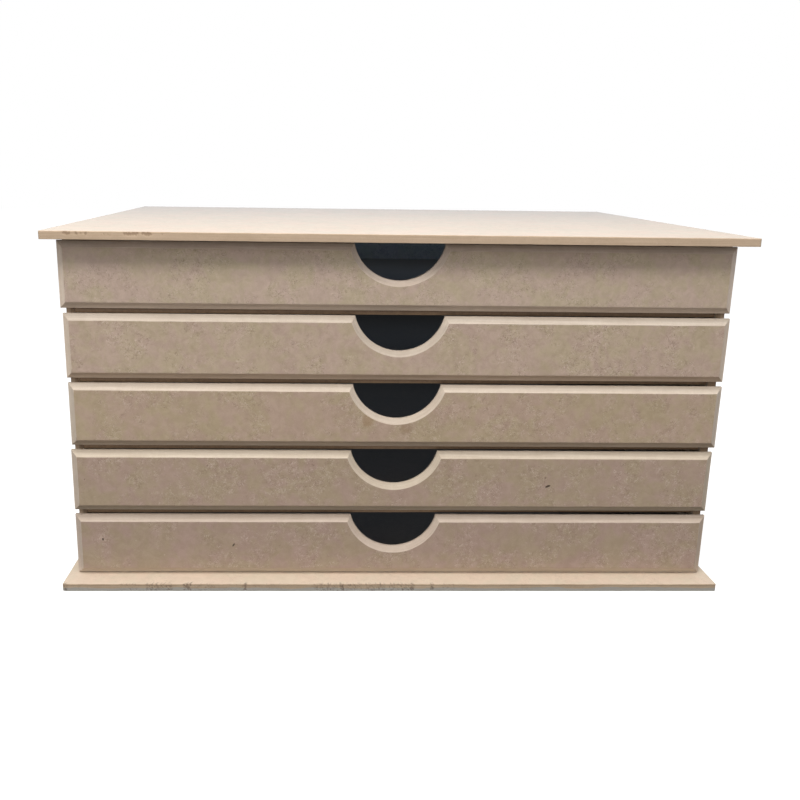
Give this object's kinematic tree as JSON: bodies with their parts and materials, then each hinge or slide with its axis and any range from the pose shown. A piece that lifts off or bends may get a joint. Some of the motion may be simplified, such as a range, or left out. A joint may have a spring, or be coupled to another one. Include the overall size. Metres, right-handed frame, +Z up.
{
  "type": "craft stamp drawer cabinet",
  "caption": "Low tabletop cabinet of bare fibreboard with shallow full-width drawers, each with a bevelled front and a round finger notch, for craft stamps.",
  "frame": {"origin": "centre of the base board's underside, where the cabinet rests", "axes": "+Z up, +X to the right seen from the front, drawer fronts towards -Y"},
  "size_m": [0.387, 0.275, 0.2085],
  "materials": {
    "fibreboard": "bare medium-density fibreboard, lightly sanded, unsealed",
    "fibreboard_front": "bare medium-density fibreboard with routed bevels, unsealed",
    "hardboard": "thin brown hardboard, smooth upper side, unsealed",
    "pin_steel": "plain bright steel panel pins"
  },
  "bodies": {
    "cabinet": {"top_board": "fibreboard", "base_board": "fibreboard", "side_left": "fibreboard", "side_right": "fibreboard", "shelf_1": "hardboard", "shelf_2": "hardboard", "shelf_3": "hardboard", "shelf_4": "hardboard", "back_panel": "hardboard", "back_pins": "pin_steel"},
    "drawer_1": {"front_1": "fibreboard_front", "box_left_1": "fibreboard", "box_right_1": "fibreboard", "box_back_1": "fibreboard", "box_floor_1": "hardboard"},
    "drawer_2": {"front_2": "fibreboard_front", "box_left_2": "fibreboard", "box_right_2": "fibreboard", "box_back_2": "fibreboard", "box_floor_2": "hardboard"},
    "drawer_3": {"front_3": "fibreboard_front", "box_left_3": "fibreboard", "box_right_3": "fibreboard", "box_back_3": "fibreboard", "box_floor_3": "hardboard"},
    "drawer_4": {"front_4": "fibreboard_front", "box_left_4": "fibreboard", "box_right_4": "fibreboard", "box_back_4": "fibreboard", "box_floor_4": "hardboard"},
    "drawer_5": {"front_5": "fibreboard_front", "box_left_5": "fibreboard", "box_right_5": "fibreboard", "box_back_5": "fibreboard", "box_floor_5": "hardboard"}
  },
  "joints": [
    {"name": "drawer_1_slide", "type": "slide", "parent": "cabinet", "child": "drawer_1", "axis": [0, -1, 0], "range_m": [0, 0.2]},
    {"name": "drawer_2_slide", "type": "slide", "parent": "cabinet", "child": "drawer_2", "axis": [0, -1, 0], "range_m": [0, 0.2]},
    {"name": "drawer_3_slide", "type": "slide", "parent": "cabinet", "child": "drawer_3", "axis": [0, -1, 0], "range_m": [0, 0.2]},
    {"name": "drawer_4_slide", "type": "slide", "parent": "cabinet", "child": "drawer_4", "axis": [0, -1, 0], "range_m": [0, 0.2]},
    {"name": "drawer_5_slide", "type": "slide", "parent": "cabinet", "child": "drawer_5", "axis": [0, -1, 0], "range_m": [0, 0.2]}
  ]
}
